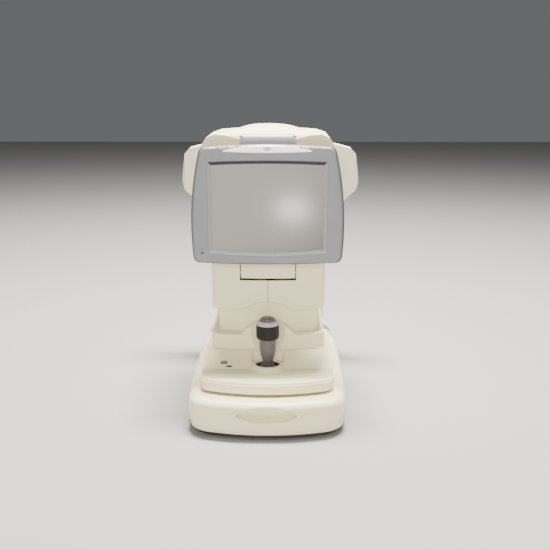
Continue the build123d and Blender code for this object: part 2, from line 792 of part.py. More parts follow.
def printer_door():
    """Bowed flap in front of the printer, with an arm and a pin at each end of its foot."""
    half = door_half - 0.6
    panel = head_form(0) - head_form(door_thickness)
    door = panel & rounded_flap(half, head_front - 5, head_front + 14, door_bottom, door_top, 2)
    for side in (-1, 1):
        door += block(side * (half - 4), side * half, 163, 169.2, door_axis_z - 2.6, door_axis_z + 2.6)
        door += rod_x(side * (half - 4), side * 48, door_axis_depth, door_axis_z, door_pin_radius)
    return door


# ---- monitor ----
def monitor_outline(grow):
    """Monitor outline in X and Z: bowed sides that draw in towards the top."""
    low = monitor_bottom + 3 - grow
    foot = monitor_half + grow
    waist = monitor_half + 2.5 + grow
    head = monitor_top_half + grow
    lines = [ThreePointArc((-foot, 0, low + 3), (0, 0, low), (foot, 0, low + 3)),
             ThreePointArc((foot, 0, low + 3), (waist, 0, 328), (head, 0, monitor_top_side)),
             ThreePointArc((head, 0, monitor_top_side), (0, 0, monitor_top), (-head, 0, monitor_top_side)),
             ThreePointArc((-head, 0, monitor_top_side), (-waist, 0, 328), (-foot, 0, low + 3))]
    face = make_face(lines)
    return fillet(face.vertices(), 11)


def monitor_bezel():
    face = monitor_outline(0)
    bezel = Pos(0, at(monitor_front), 0) * extrude(face, bezel_back - monitor_front, dir=(0, 1, 0))
    bezel = fillet(bezel.edges().group_by(Axis.Y)[0], 3)
    low_left, low_right = (-opening_half, 0, opening_bottom_side), (opening_half, 0, opening_bottom_side)
    high_left, high_right = (-opening_half, 0, opening_top_side), (opening_half, 0, opening_top_side)
    opening = [ThreePointArc(low_left, (0, 0, opening_bottom), low_right),
               Line(low_right, high_right),
               ThreePointArc(high_right, (0, 0, opening_top), high_left),
               Line(high_left, low_left)]
    window = fillet(make_face(opening).vertices(), 3)
    bezel -= Pos(0, at(monitor_front - 5), 0) * extrude(window, 30, dir=(0, 1, 0))
    pocket = block(-96, 96, monitor_front + 5, bezel_back + 1, 246, 403)
    return bezel - pocket


def monitor_back_shell():
    face = monitor_outline(3.2)
    depth = monitor_back - bezel_back
    shell = Pos(0, at(bezel_back + 0.2), 0) * extrude(face, depth - 0.2, dir=(0, 1, 0))
    shell -= block(-140, 140, bezel_back - 5, monitor_back + 5, 417, 460)
    shell = fillet(shell.edges().group_by(Axis.Y)[-1], 5)
    cavity = block(-96, 96, bezel_back - 1, monitor_back - 3, 248, 402)
    return shell - cavity


def touch_glass():
    return block(-95.6, 95.6, monitor_front + 5, monitor_front + 6.4, 246.4, 402.6)


def lcd_panel():
    return block(-95, 95, monitor_front + 6.6, monitor_front + 14, 248.6, 401.4)


def hinge_barrel():
    barrel = rod_x(-barrel_half, barrel_half, hinge_depth, hinge_z, barrel_radius)
    web = block(-barrel_half, barrel_half, hinge_depth - 6, monitor_back - 2, 417, hinge_z)
    barrel += web
    return barrel - rod_x(-50, 50, hinge_depth, hinge_z, hinge_pin_radius + running)


# ---- all nodes ----
os.makedirs("parts", exist_ok=True)
save("base_plate", base_plate())
save("base_cover", base_shell())
save("rubber_feet", *base_feet())
save("base_screws", *base_screws())
save("rail_blocks", *rail_blocks())
save("depth_rails", *depth_rails())
save("power_supply", power_supply())
save("main_board", main_board())
save("power_inlet", power_inlet())
save("side_panel", side_panel())
save("power_rocker", power_rocker())
headrest_front_cover, headrest_rear_cover = headrest_covers()
save("headrest_front_cover", headrest_front_cover)
save("headrest_rear_cover", headrest_rear_cover)
save("headrest_posts", *headrest_posts())
save("forehead_band", forehead_band())
save("forehead_pad", forehead_pad())
save("tower_cover", tower_cover())
save("chin_guide", chin_guide())
save("chin_motor", chin_motor())
save("chin_screw", chin_screw())
save("chin_post", chin_post())
save("chin_cup", chin_cup())
save("paper_pins", *paper_pins())
save("carriage_frame", carriage_frame())
save("rail_bushings", *rail_bushings())
save("cross_shafts", *cross_shafts())
save("stage_chassis", stage_chassis(), *gimbal_bearings())
save("cross_bushings", *cross_bushings())
save("deck_cover", deck_cover())
save("lift_column", *lift_column())
save("lift_motor", lift_motor())
save("lift_screw", lift_screw())
save("gimbal_ring", gimbal_ring())
save("joystick_shaft", joystick_shaft())
save("joystick_grip", joystick_grip())
save("joystick_collar", joystick_collar())
save("lift_ring", lift_ring())
save("measure_button", measure_button())
save("head_chassis", head_chassis())
save("lift_rams", *lift_rams())
left_shell, right_shell = head_shells()
save("left_shell", left_shell)
save("right_shell", right_shell)
save("hood", hood())
save("hinge_bracket", hinge_bracket())
save("hinge_pin", hinge_pin())
save("patient_panel", patient_panel())
save("window_ring", window_ring())
save("optical_bench", optical_bench())
save("measuring_barrel", measuring_barrel())
save("objective_lens", objective_lens())
save("camera_module", camera_module())
save("printer_body", printer_body())
save("platen_roller", platen_roller())
save("paper_roll", paper_roll())
save("printer_door", printer_door())
save("monitor_bezel", monitor_bezel())
save("monitor_back", monitor_back_shell())
save("touch_glass", touch_glass())
save("lcd_panel", lcd_panel())
save("hinge_barrel", hinge_barrel())
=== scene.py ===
"""Looks of the autorefractor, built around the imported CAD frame. Metres, +Z up, operator on the -Y side."""
import json
import math
import random

import bmesh
import bpy
from mathutils import Matrix, Vector


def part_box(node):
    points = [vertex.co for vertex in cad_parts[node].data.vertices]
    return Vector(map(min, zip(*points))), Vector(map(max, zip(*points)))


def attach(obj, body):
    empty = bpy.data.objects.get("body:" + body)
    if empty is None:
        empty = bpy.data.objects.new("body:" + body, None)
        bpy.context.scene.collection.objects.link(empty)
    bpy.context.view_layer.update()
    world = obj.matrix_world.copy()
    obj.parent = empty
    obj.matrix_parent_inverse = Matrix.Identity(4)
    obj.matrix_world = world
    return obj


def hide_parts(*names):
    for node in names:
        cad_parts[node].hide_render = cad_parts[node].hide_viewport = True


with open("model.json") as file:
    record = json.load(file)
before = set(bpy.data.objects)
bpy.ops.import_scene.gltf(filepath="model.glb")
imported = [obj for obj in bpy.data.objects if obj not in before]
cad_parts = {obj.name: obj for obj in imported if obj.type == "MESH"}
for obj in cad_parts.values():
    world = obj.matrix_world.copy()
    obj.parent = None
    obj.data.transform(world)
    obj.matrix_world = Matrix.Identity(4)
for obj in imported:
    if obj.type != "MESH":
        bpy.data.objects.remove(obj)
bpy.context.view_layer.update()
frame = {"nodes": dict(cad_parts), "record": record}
nodes = frame["nodes"]

MM = 0.001


# ---- camera ----
def add_camera():
    """The camera stands in front of the operator's side, a little to the right and above the hood."""
    data = bpy.data.cameras.new("camera")
    data.sensor_width = 36.0
    data.lens = 55.64
    data.clip_end = 20.0
    data.dof.use_dof = False
    camera = bpy.data.objects.new("camera", data)
    bpy.context.scene.collection.objects.link(camera)
    pitch_down = math.radians(12.9)
    yaw_left = 0.0097
    camera.location = (0.024, -1.400, 0.5165)
    camera.rotation_euler = (math.radians(90.0) - pitch_down, 0.0, yaw_left)
    bpy.context.scene.camera = camera


# ---- shader helpers ----
def new_material(name):
    """Empty node material, its tree, its shader and the object's own coordinates."""
    material = bpy.data.materials.new(name)
    material.use_nodes = True
    tree = material.node_tree
    shader = tree.nodes["Principled BSDF"]
    coords = tree.nodes.new("ShaderNodeTexCoord")
    return material, tree, shader, coords.outputs["Object"]


def noise(tree, vector, scale, detail=2.0, rough=0.5, stretch=None):
    """Noise texture, drawn out along the axes whose stretch is small."""
    if stretch is not None:
        mapping = tree.nodes.new("ShaderNodeMapping")
        mapping.inputs["Scale"].default_value = stretch
        tree.links.new(vector, mapping.inputs["Vector"])
        vector = mapping.outputs["Vector"]
    node = tree.nodes.new("ShaderNodeTexNoise")
    node.inputs["Scale"].default_value = scale
    node.inputs["Detail"].default_value = detail
    node.inputs["Roughness"].default_value = rough
    tree.links.new(vector, node.inputs["Vector"])
    return node.outputs["Fac"]


def remap(tree, value, low, high, start=0.3, end=0.7):
    """Takes start..end to low..high and holds it there."""
    node = tree.nodes.new("ShaderNodeMapRange")
    node.inputs["From Min"].default_value = start
    node.inputs["From Max"].default_value = end
    node.inputs["To Min"].default_value = low
    node.inputs["To Max"].default_value = high
    tree.links.new(value, node.inputs["Value"])
    return node.outputs["Result"]


def mix_colours(tree, factor, first, second):
    """Mixes two colours, each a tuple or a socket."""
    node = tree.nodes.new("ShaderNodeMix")
    node.data_type = "RGBA"
    tree.links.new(factor, node.inputs["Factor"])
    for socket, value in ((node.inputs["A"], first), (node.inputs["B"], second)):
        if isinstance(value, tuple):
            socket.default_value = (*value, 1.0)
        else:
            tree.links.new(value, socket)
    return node.outputs["Result"]


def rounded_edges(tree, radius):
    """Shading normal with every sharp edge eased by radius."""
    node = tree.nodes.new("ShaderNodeBevel")
    node.samples = 4
    node.inputs["Radius"].default_value = radius
    return node.outputs["Normal"]


def bump(tree, height, strength, distance, normal=None):
    """Bumped normal, on top of another normal if there is one."""
    node = tree.nodes.new("ShaderNodeBump")
    node.inputs["Strength"].default_value = strength
    node.inputs["Distance"].default_value = distance
    tree.links.new(height, node.inputs["Height"])
    if normal is not None:
        tree.links.new(normal, node.inputs["Normal"])
    return node.outputs["Normal"]


def scaled(colour, factor):
    """The colour made brighter or darker."""
    return tuple(min(1.0, channel * factor) for channel in colour)


def position(tree, where, axis, low, high):
    """0 to 1 along one axis of the object between two places."""
    split = tree.nodes.new("ShaderNodeSeparateXYZ")
    tree.links.new(where, split.inputs[0])
    return remap(tree, split.outputs[axis], 0.0, 1.0, low, high)


def darken_seam(material, half_width, dark):
    """Darkens the plastic beside the joint of the two neck halves, where it rounds over into the gap."""
    tree = material.node_tree
    socket = tree.nodes["Principled BSDF"].inputs["Base Color"]
    painted = socket.links[0].from_socket
    where = tree.nodes.new("ShaderNodeTexCoord").outputs["Object"]
    split = tree.nodes.new("ShaderNodeSeparateXYZ")
    tree.links.new(where, split.inputs[0])
    aside = tree.nodes.new("ShaderNodeMath")
    aside.operation = "ABSOLUTE"
    tree.links.new(split.outputs["X"], aside.inputs[0])
    share = remap(tree, aside.outputs[0], 0.0, 1.0, 0.4 * half_width, half_width)
    tree.links.new(mix_colours(tree, share, dark, painted), socket)


# ---- materials ----
def moulded_plastic(name, colour, warm=None, rough=0.45, grain=1800.0, depth=0.00006, strength=0.3,
                    edge=0.0007, scuffs=0.04, gloss=0.5):
    """Injection moulded plastic: spark-eroded grain, faint colour drift, specks, scuffs and eased edges."""
    material, tree, shader, where = new_material(name)
    second = warm if warm is not None else scaled(colour, 0.93)
    drift = noise(tree, where, 9.0, 3.0, 0.6)
    base = mix_colours(tree, remap(tree, drift, 0.0, 1.0, 0.35, 0.68), colour, second)
    specks = remap(tree, noise(tree, where, 520.0, 2.0), 0.0, 0.12, 0.66, 0.8)
    base = mix_colours(tree, specks, base, scaled(second, 0.62))
    tree.links.new(base, shader.inputs["Base Color"])
    patches = noise(tree, where, 26.0, 4.0, 0.65)
    scratches = noise(tree, where, 240.0, 3.0, 0.7, (1.0, 0.12, 0.5))
    dull = remap(tree, patches, rough - 0.06, rough + 0.08)
    add = tree.nodes.new("ShaderNodeMath")
    add.operation = "ADD"
    tree.links.new(dull, add.inputs[0])
    tree.links.new(remap(tree, scratches, 0.0, scuffs, 0.55, 0.8), add.inputs[1])
    tree.links.new(add.outputs[0], shader.inputs["Roughness"])
    fine = noise(tree, where, grain, 3.0, 0.6)
    normal = bump(tree, fine, strength, depth, rounded_edges(tree, edge))
    waves = noise(tree, where, 22.0, 1.0)
    tree.links.new(bump(tree, waves, 0.06, 0.0004, normal), shader.inputs["Normal"])
    shader.inputs["Specular IOR Level"].default_value = gloss
    return material


def brushed_metal(name, colour, rough=0.3, stretch=(1.0, 1.0, 0.04)):
    """Bare metal with fine lines along the axis whose stretch is small."""
    material, tree, shader, where = new_material(name)
    lines = noise(tree, where, 1500.0, 2.0, 0.6, stretch)
    base = mix_colours(tree, remap(tree, lines, 0.0, 1.0), colour, scaled(colour, 0.8))
    tree.links.new(base, shader.inputs["Base Color"])
    tree.links.new(remap(tree, lines, rough - 0.06, rough + 0.1), shader.inputs["Roughness"])
    normal = bump(tree, lines, 0.25, 0.00002, rounded_edges(tree, 0.0003))
    tree.links.new(normal, shader.inputs["Normal"])
    shader.inputs["Metallic"].default_value = 1.0
    return material


def painted_metal(name, colour, rough=0.5):
    """Powder coat: an orange-peel surface with small dull patches."""
    material, tree, shader, where = new_material(name)
    patches = noise(tree, where, 18.0, 4.0, 0.6)
    base = mix_colours(tree, remap(tree, patches, 0.0, 1.0), colour, scaled(colour, 1.35))
    tree.links.new(base, shader.inputs["Base Color"])
    tree.links.new(remap(tree, patches, rough - 0.08, rough + 0.08), shader.inputs["Roughness"])
    peel = noise(tree, where, 700.0, 2.0)
    normal = bump(tree, peel, 0.4, 0.00008, rounded_edges(tree, 0.0005))
    tree.links.new(normal, shader.inputs["Normal"])
    return material


def rubber(name, colour, rough=0.75):
    """Moulded rubber with a bloom of dust in its pores."""
    material, tree, shader, where = new_material(name)
    dust = noise(tree, where, 60.0, 5.0, 0.7)
    base = mix_colours(tree, remap(tree, dust, 0.0, 0.6), colour, scaled(colour, 1.8))
    tree.links.new(base, shader.inputs["Base Color"])
    tree.links.new(remap(tree, dust, rough - 0.08, rough + 0.1), shader.inputs["Roughness"])
    normal = bump(tree, noise(tree, where, 1300.0, 2.0), 0.5, 0.00008, rounded_edges(tree, 0.0005))
    tree.links.new(normal, shader.inputs["Normal"])
    return material


def optical_glass(name, colour, rough=0.08):
    """Coated optical glass with faint wiping streaks."""
    material, tree, shader, where = new_material(name)
    streaks = noise(tree, where, 60.0, 3.0, 0.6, (1.0, 1.0, 0.12))
    base = mix_colours(tree, remap(tree, streaks, 0.0, 1.0), colour, scaled(colour, 1.25))
    tree.links.new(base, shader.inputs["Base Color"])
    tree.links.new(remap(tree, streaks, rough - 0.04, rough + 0.06), shader.inputs["Roughness"])
    shader.inputs["Coat Weight"].default_value = 0.6
    shader.inputs["Coat Roughness"].default_value = 0.06
    return material


def screen_with_painted_reflection(name):
    """Switched-off touch screen, silvery grey, with painted reflection and shade: pinker on its right and
    darker at its lower right.
    """
    material, tree, shader, where = new_material(name)
    low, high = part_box("touch_glass")
    across = position(tree, where, "X", low[0], high[0])
    upwards = position(tree, where, "Z", low[2], high[2])
    cloud = noise(tree, where, 11.0, 2.0, 0.5)
    # Painted reflection and shade: lighter and more silvery at the left, pinker to the right, darkest at the
    # lower right.
    upper = mix_colours(tree, across, (0.29, 0.296, 0.258), (0.235, 0.21, 0.192))
    lower = mix_colours(tree, across, (0.305, 0.29, 0.264), (0.075, 0.067, 0.062))
    base = mix_colours(tree, upwards, lower, upper)
    base = mix_colours(tree, remap(tree, cloud, 0.0, 0.2), base, (0.34, 0.33, 0.305))
    mesh_dots = noise(tree, where, 2600.0, 1.0)
    base = mix_colours(tree, remap(tree, mesh_dots, 0.0, 0.12), base, (0.24, 0.24, 0.23))
    tree.links.new(base, shader.inputs["Base Color"])
    tree.links.new(remap(tree, cloud, 0.3, 0.38), shader.inputs["Roughness"])
    tree.links.new(bump(tree, mesh_dots, 0.12, 0.00003), shader.inputs["Normal"])
    shader.inputs["Coat Weight"].default_value = 0.35
    shader.inputs["Coat Roughness"].default_value = 0.14
    return material


def circuit_board(name):
    """Green solder mask with lighter copper tracks under it."""
    material, tree, shader, where = new_material(name)
    tracks = noise(tree, where, 260.0, 0.0, 0.5, (1.0, 0.2, 1.0))
    base = mix_colours(tree, remap(tree, tracks, 0.0, 1.0, 0.48, 0.52), (0.02, 0.13, 0.05), (0.05, 0.26, 0.1))
    tree.links.new(base, shader.inputs["Base Color"])
    shader.inputs["Roughness"].default_value = 0.35
    tree.links.new(bump(tree, tracks, 0.3, 0.00005), shader.inputs["Normal"])
    return material


def printed_ink(name, colour):
    """Thin print that is worn paler in specks."""
    material, tree, shader, where = new_material(name)
    wear = noise(tree, where, 900.0, 3.0, 0.7)
    base = mix_colours(tree, remap(tree, wear, 0.0, 0.5, 0.55, 0.75), colour, scaled(colour, 2.2))
    tree.links.new(base, shader.inputs["Base Color"])
    shader.inputs["Roughness"].default_value = 0.4
    tree.links.new(bump(tree, wear, 0.2, 0.00002), shader.inputs["Normal"])
    return material


WHITE = (0.86, 0.78, 0.50)
WARM_WHITE = (0.85, 0.755, 0.46)
BAR_MAUVE = (0.36, 0.32, 0.35)
MAUVE = (0.098, 0.083, 0.091)
MATERIALS = {
    "white_plastic": moulded_plastic("white_plastic", WHITE, WARM_WHITE, rough=0.4),
    "black_plate": painted_metal("black_plate", (0.012, 0.012, 0.012)),
    "rubber": rubber("rubber", (0.018, 0.018, 0.018)),
    "steel": brushed_metal("steel", (0.55, 0.55, 0.56), rough=0.24),
    "aluminium": brushed_metal("aluminium", (0.66, 0.66, 0.68), rough=0.38, stretch=(0.05, 1.0, 1.0)),
    "black_metal": painted_metal("black_metal", (0.02, 0.02, 0.022)),
    "bronze": brushed_metal("bronze", (0.6, 0.4, 0.18), rough=0.34),
    "motor_black": painted_metal("motor_black", (0.025, 0.025, 0.028), rough=0.4),
    "board_green": circuit_board("board_green"),
    "black_plastic": moulded_plastic("black_plastic", (0.008, 0.009, 0.008), (0.012, 0.013, 0.011),
                                     rough=0.5, gloss=0.25),
    "bezel_grey": moulded_plastic("bezel_grey", (0.225, 0.228, 0.25), (0.205, 0.208, 0.23),
                                  rough=0.36, grain=2200.0),
    "dark_grey_plastic": moulded_plastic("dark_grey_plastic", (0.085, 0.085, 0.092), rough=0.45),
    "mauve_plastic": moulded_plastic("mauve_plastic", MAUVE, scaled(MAUVE, 0.9), rough=0.36),
    "mauve_metal": painted_metal("mauve_metal", BAR_MAUVE, rough=0.36),
    "screen_glass": screen_with_painted_reflection("screen_glass"),
    "lcd_black": painted_metal("lcd_black", (0.02, 0.02, 0.02), rough=0.3),
    "lens_glass": optical_glass("lens_glass", (0.02, 0.03, 0.05)),
    "paper": moulded_plastic("paper", (0.82, 0.81, 0.78), rough=0.75, grain=900.0, depth=0.00004),
    "chin_plastic": moulded_plastic("chin_plastic", (0.8, 0.77, 0.69), rough=0.3),
    "pad_grey": rubber("pad_grey", (0.12, 0.12, 0.125), rough=0.55),
    "band_plastic": moulded_plastic("band_plastic", WHITE, WARM_WHITE, rough=0.38),
}
EXTRAS = {
    "lip": moulded_plastic("lip", (0.36, 0.34, 0.31), (0.33, 0.31, 0.29), rough=0.3, grain=2200.0),
    # Dark plastic for the screen lip's top: painted shade where the bezel's top edge shades the lip.
    "shade": moulded_plastic("shade", (0.03, 0.026, 0.034), rough=0.6),
    "badge": moulded_plastic("badge", (0.93, 0.925, 0.90), rough=0.22, grain=2600.0, depth=0.00002),
    "blue_ink": printed_ink("blue_ink", (0.03, 0.045, 0.25)),
    "black_ink": printed_ink("black_ink", (0.012, 0.012, 0.012)),
    "boot": rubber("boot", (0.045, 0.038, 0.043), rough=0.6),
    "lamp": optical_glass("lamp", (0.008, 0.008, 0.01), rough=0.1),
    "cap_light": moulded_plastic("cap_light", (0.44, 0.385, 0.40), (0.40, 0.35, 0.365), rough=0.3),
    "dome": moulded_plastic("dome", (0.115, 0.103, 0.094), rough=0.42),
    "bar": moulded_plastic("bar", (0.37, 0.33, 0.35), rough=0.3),
    "side_brown": moulded_plastic("side_brown", (0.19, 0.15, 0.11), rough=0.5),
    # Lighter copy of the lip plastic: painted highlight on the lip's sill, which faces up to the light.
    "lip_painted_highlight": moulded_plastic("lip_painted_highlight", (0.56, 0.55, 0.53), rough=0.3, grain=2200.0),
    # Lighter copy of the white plastic: painted highlight on the headrest covers, which are the same plastic
    # as the neck but catch more light.
    "painted_lit_white": moulded_plastic("painted_lit_white", (0.93, 0.87, 0.66), (0.92, 0.85, 0.62), rough=0.4),
    "skirt_white": moulded_plastic("skirt_white", WHITE, WARM_WHITE, rough=0.4),
}
# The headrest covers take the painted-highlight copy of the white plastic.
NODE_MATERIALS = {"joystick_collar": "cap_light", "measure_button": "dome", "hinge_barrel": "bar",
                  "side_panel": "side_brown", "headrest_front_cover": "painted_lit_white",
                  "headrest_rear_cover": "painted_lit_white", "left_shell": "skirt_white",
                  "right_shell": "skirt_white"}


SEAM_HALF_WIDTH = 0.7 * MM
darken_seam(EXTRAS["skirt_white"], SEAM_HALF_WIDTH, scaled(WHITE, 0.08))


def smooth_shade(obj, degrees):
    """Shades curved faces as one surface and keeps sharp edges sharp."""
    obj.data.polygons.foreach_set("use_smooth", [True] * len(obj.data.polygons))
    split = obj.modifiers.new("smooth", "EDGE_SPLIT")
    split.split_angle = math.radians(degrees)


def dress_nodes():
    """Gives every CAD node the material of its slot, or a closer one where the slot is shared."""
    for entry in frame["record"]["subparts"]:
        node = nodes[entry["node"]]
        material = MATERIALS[entry["material_slot"]]
        if entry["node"] in NODE_MATERIALS:
            material = EXTRAS[NODE_MATERIALS[entry["node"]]]
        node.data.materials.clear()
        node.data.materials.append(material)
        smooth_shade(node, 24.0)


# ---- mesh helpers ----
def add_piece(name, bm, material, body, degrees=35.0):
    """Turns bm into an object that rides on body."""
    bmesh.ops.recalc_face_normals(bm, faces=bm.faces)
    mesh = bpy.data.meshes.new(name)
    bm.to_mesh(mesh)
    bm.free()
    obj = bpy.data.objects.new(name, mesh)
    bpy.context.scene.collection.objects.link(obj)
    mesh.materials.append(material)
    smooth_shade(obj, degrees)
    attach(obj, body)
    return obj


def stack_rings(rings, closed_profile=False):
    """Joins equal rings of points with quads, then closes the first and the last ring, or joins them."""
    bm = bmesh.new()
    loops = [[bm.verts.new(point) for point in ring] for ring in rings]
    count = len(loops[0])
    pairs = list(zip(loops, loops[1:]))
    if closed_profile:
        pairs.append((loops[-1], loops[0]))
    for low, high in pairs:
        for k in range(count):
            n = (k + 1) % count
            bm.faces.new((low[k], low[n], high[n], high[k]))
    if not closed_profile:
        bm.faces.new(loops[0])
        bm.faces.new(loops[-1])
    return bm


def turned(profile, centre, steps=96, flutes=0, depth=0.0, axis="Z", closed_profile=False):
    """Turned shape from (radius, height) points. Flutes grow with the profile's third value."""
    turn = Matrix.Identity(3)
    if axis == "Y":
        turn = Matrix.Rotation(math.radians(90.0), 3, "X")
    elif axis == "X":
        turn = Matrix.Rotation(math.radians(90.0), 3, "Y")
    rings = []
    for entry in profile:
        share = entry[2] if len(entry) > 2 else 0.0
        ring = []
        for k in range(steps):
            angle = 2.0 * math.pi * k / steps
            radius = entry[0] * (1.0 + share * depth * math.cos(flutes * angle))
            point = Vector((radius * math.cos(angle), radius * math.sin(angle), entry[1]))
            ring.append(turn @ point + Vector(centre))
        rings.append(ring)
    return stack_rings(rings, closed_profile)


def printed_oval(place, half_wide, half_high, inner, under, over, steps):
    """Thin flat ring. place(across, up, lift) gives a point on the face that carries it."""
    rings = []
    for share, lift in ((1.0, under), (1.0, over), (inner, over), (inner, under)):
        ring = []
        for k in range(steps):
            angle = 2.0 * math.pi * k / steps
            ring.append(place(half_wide * share * math.cos(angle), half_high * share * math.sin(angle), lift))
        rings.append(ring)
    return stack_rings(rings, True)


# ---- monitor ----
BEZEL_LOW, BEZEL_HIGH = [Vector(corner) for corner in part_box("monitor_bezel")]
OPEN_HALF = 91.5 * MM
OPEN_LOW_SIDE, OPEN_LOW_MID = 255.6 * MM, 251.0 * MM
OPEN_HIGH_SIDE, OPEN_HIGH_MID = 396.3 * MM, 398.6 * MM


def opening_outline(inset, y, steps=24):
    """Outline of the bezel's opening, moved inwards by inset, as points at depth y."""
    half = OPEN_HALF - inset
    points = []
    for k in range(steps + 1):
        t = -1.0 + 2.0 * k / steps
        bow = 1.0 - t * t
        points.append((half * t, y, OPEN_LOW_SIDE + inset + (OPEN_LOW_MID - OPEN_LOW_SIDE) * bow))
    for k in range(steps + 1):
        t = 1.0 - 2.0 * k / steps
        bow = 1.0 - t * t
        points.append((half * t, y, OPEN_HIGH_SIDE - inset + (OPEN_HIGH_MID - OPEN_HIGH_SIDE) * bow))
    return points


def add_screen_lip():
    """Sloping rim between the bezel and the screen, with painted shade along its top and a painted highlight
    along its sill.
    """
    front = BEZEL_LOW.y + 0.6 * MM
    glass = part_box("touch_glass")[0][1] - 0.15 * MM
    rings = [opening_outline(0.15 * MM, front), opening_outline(5.2 * MM, glass - 0.5 * MM),
             opening_outline(5.4 * MM, glass), opening_outline(0.15 * MM, glass)]
    lip = add_piece("screen_lip", stack_rings(rings, True), EXTRAS["lip"], "monitor")
    lip.data.materials.append(EXTRAS["shade"])
    lip.data.materials.append(EXTRAS["lip_painted_highlight"])
    middle = (OPEN_LOW_MID + OPEN_HIGH_MID) / 2
    edge_zone = 60 * MM
    shade_index, painted_highlight_index = 1, 2
    # Level faces near the top get the painted shade, level faces near the sill the painted highlight.
    for face in lip.data.polygons:
        level = abs(face.normal.z) > 0.5
        if level and face.center.z > middle + edge_zone:
            face.material_index = shade_index
        if level and face.center.z < middle - edge_zone:
            face.material_index = painted_highlight_index


def add_badge():
    """Plain white badge plate that leans forward at its foot and wraps over the bezel's top edge."""
    half_width = 67 * MM
    foot_middle, foot_tip = 410.6 * MM, 412.4 * MM
    top_middle, top_tip = 421.8 * MM, 413.4 * MM
    bezel_roll, lean = 3 * MM, 0.42
    roll_start = BEZEL_HIGH.z - bezel_roll
    stand_off = 0.7 * MM
    columns, rows = 48, 8

    def face_y(z):
        past_start = max(0.0, z - roll_start)
        back = bezel_roll - math.sqrt(max(0.0, bezel_roll * bezel_roll - past_start ** 2))
        return BEZEL_LOW.y - stand_off - lean * (top_middle - z) + back

    bm = bmesh.new()
    grid = []
    for i in range(columns + 1):
        x = half_width * (-1.0 + 2.0 * i / columns)
        bow = 1.0 - (x / half_width) ** 2
        bottom = foot_tip + (foot_middle - foot_tip) * bow
        top = top_tip + (top_middle - top_tip) * bow
        heights = [bottom + (top - bottom) * j / rows for j in range(rows + 1)]
        grid.append([bm.verts.new((x, face_y(z), z)) for z in heights])
    for i in range(columns):
        for j in range(rows):
            bm.faces.new((grid[i][j], grid[i + 1][j], grid[i + 1][j + 1], grid[i][j + 1]))
    plate = add_piece("badge_plate", bm, EXTRAS["badge"], "monitor")
    thick = plate.modifiers.new("thick", "SOLIDIFY")
    thick.thickness = 2.6 * MM
    thick.offset = 1.0 if plate.data.polygons[0].normal.y > 0 else -1.0
    ease = plate.modifiers.new("ease", "BEVEL")
    ease.width = 0.3 * MM
    ease.segments = 2
    ease.angle_limit = math.radians(40.0)

    eye_z = 416.2 * MM

    def on_plate(across, up, lift):
        return (across, face_y(eye_z + up) - lift, eye_z + up)

    for name, half_wide, half_high, inner in (("badge_eye_outline", 5.6 * MM, 2.7 * MM, 0.74),
                                              ("badge_eye_pupil", 1.4 * MM, 1.4 * MM, 0.1)):
        bm = printed_oval(on_plate, half_wide, half_high, inner, -0.1 * MM, 0.12 * MM, 64)
        add_piece(name, bm, EXTRAS["blue_ink"], "monitor")


def add_indicators():
    """Power lamp and light sensor on the lower left of the bezel."""
    column_x = -101 * MM
    sunk = 0.3 * MM
    for name, z, radius in (("power_lamp", 256.3 * MM, 1.9 * MM), ("light_sensor", 262.0 * MM, 0.9 * MM)):
        centre = (column_x, BEZEL_LOW.y + sunk, z)
        dome = [(0.1 * radius, 0.0), (radius, 0.0), (radius, 0.35 * MM), (0.8 * radius, 0.6 * MM),
                (0.45 * radius, 0.75 * MM), (0.1 * radius, 0.8 * MM)]
        add_piece(name, turned(dome, centre, 40, axis="Y"), EXTRAS["lamp"], "monitor")


def add_hinge_caps():
    """Thin end rings of the hinge barrel."""
    low, high = [Vector(corner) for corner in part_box("hinge_barrel")]
    barrel_radius = (high.y - low.y) / 2
    centre_y = (low.y + high.y) / 2
    centre_z = high.z - barrel_radius
    bore = 3.4 * MM
    rim = barrel_radius + 0.15 * MM
    profile = [(bore, -0.2 * MM), (rim - 0.5 * MM, -0.2 * MM), (rim, 0.2 * MM), (rim, 2.6 * MM),
               (rim - 0.2 * MM, 2.8 * MM), (bore, 2.8 * MM)]
    for name, x, way in (("hinge_cap_left", low.x, 1.0), ("hinge_cap_right", high.x, -1.0)):
        inwards = [(radius, way * along) for radius, along in profile]
        bm = turned(inwards, (x, centre_y, centre_z), 64, axis="X", closed_profile=True)
        add_piece(name, bm, EXTRAS["bar"], "monitor")


# ---- joystick ----
def stick_centre():
    """Where the upright joystick's axis stands."""
    low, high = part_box("joystick_grip")
    return (low[0] + high[0]) / 2, (low[1] + high[1]) / 2


def add_joystick_boot():
    """Fluted rubber boot around the foot of the joystick's stem, clear of the gimbal when it leans."""
    x, y = stick_centre()
    profile = [(6.1, 92.0, 0.0), (7.6, 90.0, 0.0), (7.9, 87.0, 0.3), (7.4, 83.5, 0.7), (7.6, 81.0, 0.9),
               (9.0, 79.0, 1.0), (11.5, 77.2, 1.0), (13.0, 76.2, 0.8), (13.1, 75.2, 0.6), (10.5, 75.6, 0.8),
               (8.0, 77.0, 0.6), (6.0, 79.5, 0.0)]
    profile = [(r * MM, z * MM, share) for r, z, share in profile]
    bm = turned(profile, (x, y, 0.0), 144, 12, 0.1, closed_profile=True)
    add_piece("joystick_boot", bm, EXTRAS["boot"], "joystick", 60.0)


def add_button_seal():
    """Dark joint line between the collar and the button."""
    x, y = stick_centre()
    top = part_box("joystick_collar")[1][2]
    profile = [(12.45, -1.6), (13.3, -0.5), (13.2, 0.1), (12.45, 0.05)]
    profile = [(r * MM, top + z * MM) for r, z in profile]
    bm = turned(profile, (x, y, 0.0), closed_profile=True)
    add_piece("button_seal", bm, EXTRAS["boot"], "joystick")


